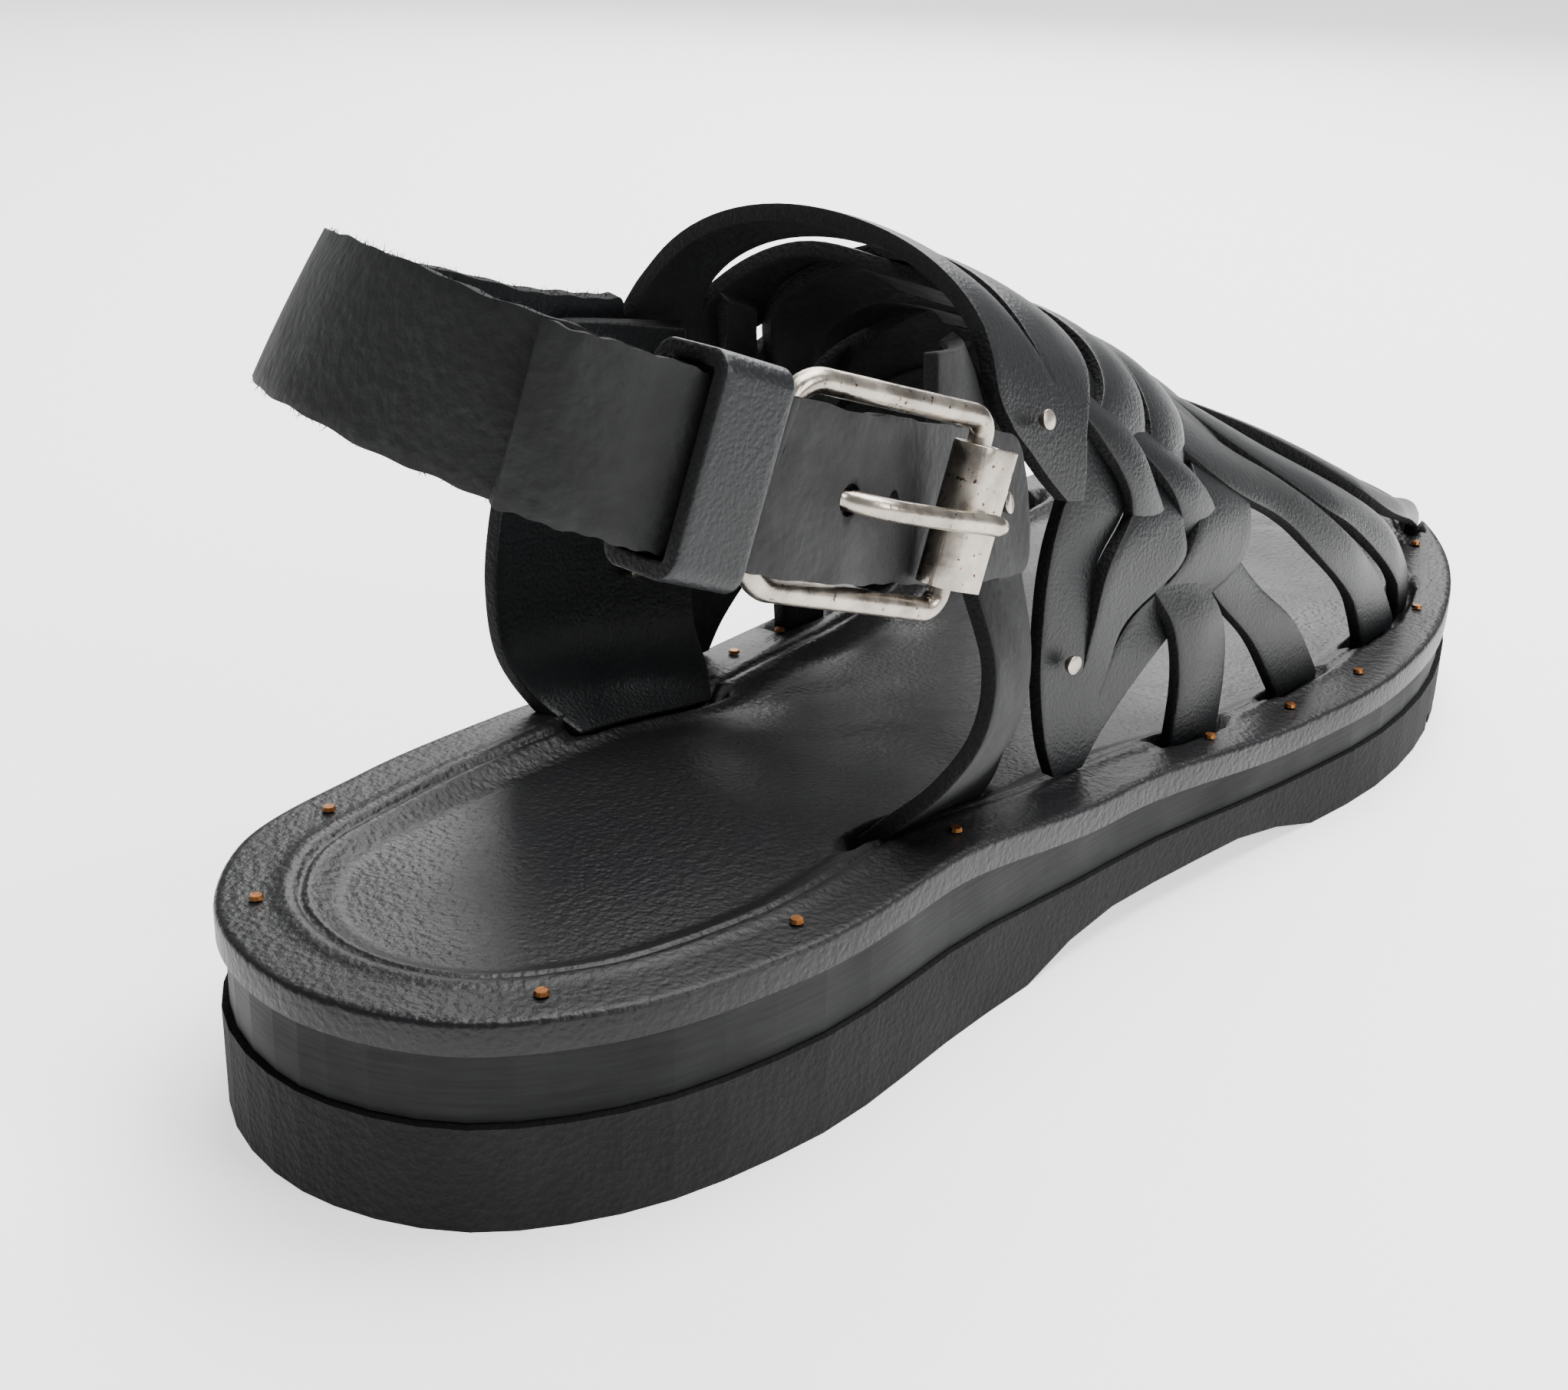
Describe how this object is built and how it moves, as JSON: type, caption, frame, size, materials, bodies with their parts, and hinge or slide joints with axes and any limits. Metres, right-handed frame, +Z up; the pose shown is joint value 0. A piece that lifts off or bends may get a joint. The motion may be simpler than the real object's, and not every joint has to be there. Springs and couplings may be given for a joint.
{
  "type": "woven leather sandal",
  "caption": "Men's woven leather sandal: moulded footbed on a thick rubber sole, interlaced vamp, open toe and heel strap with a roller buckle.",
  "frame": {"origin": "on the floor under the middle of the sole", "axes": "+Y to the toe, +X to the outer (lateral) side, +Z up"},
  "size_m": [0.1107, 0.29, 0.1147],
  "materials": {
    "outsole_rubber": "matte crumb",
    "midsole_rubber": "satin",
    "insole_leather": "moulded, satin",
    "strap_leather": "smooth, waxed",
    "nickel": "polished",
    "brass": "worn"
  },
  "bodies": {
    "root": {"outsole": "outsole_rubber", "midsole": "midsole_rubber", "insole": "insole_leather", "upper": "strap_leather", "quarter_lateral": "strap_leather", "quarter_medial": "strap_leather", "heel_strap": "strap_leather", "billet_strap": "strap_leather", "keeper_loop": "strap_leather", "buckle_frame": "nickel", "buckle_roller": "nickel", "buckle_prong": "nickel", "rivet_palm_lateral": "nickel", "rivet_palm_medial": "nickel", "rivet_wing_lateral": "nickel", "rivet_wing_medial": "nickel", "rivet_tab": "nickel", "rivet_heel_strap": "nickel", "rivet_inside_low": "nickel", "rivet_inside_high": "nickel", "tack_01": "brass", "tack_02": "brass", "tack_03": "brass", "tack_04": "brass", "tack_05": "brass", "tack_06": "brass", "tack_07": "brass", "tack_08": "brass", "tack_09": "brass", "tack_10": "brass", "tack_11": "brass", "tack_12": "brass", "tack_13": "brass", "tack_14": "brass", "tack_15": "brass", "tack_16": "brass"}
  },
  "joints": []
}
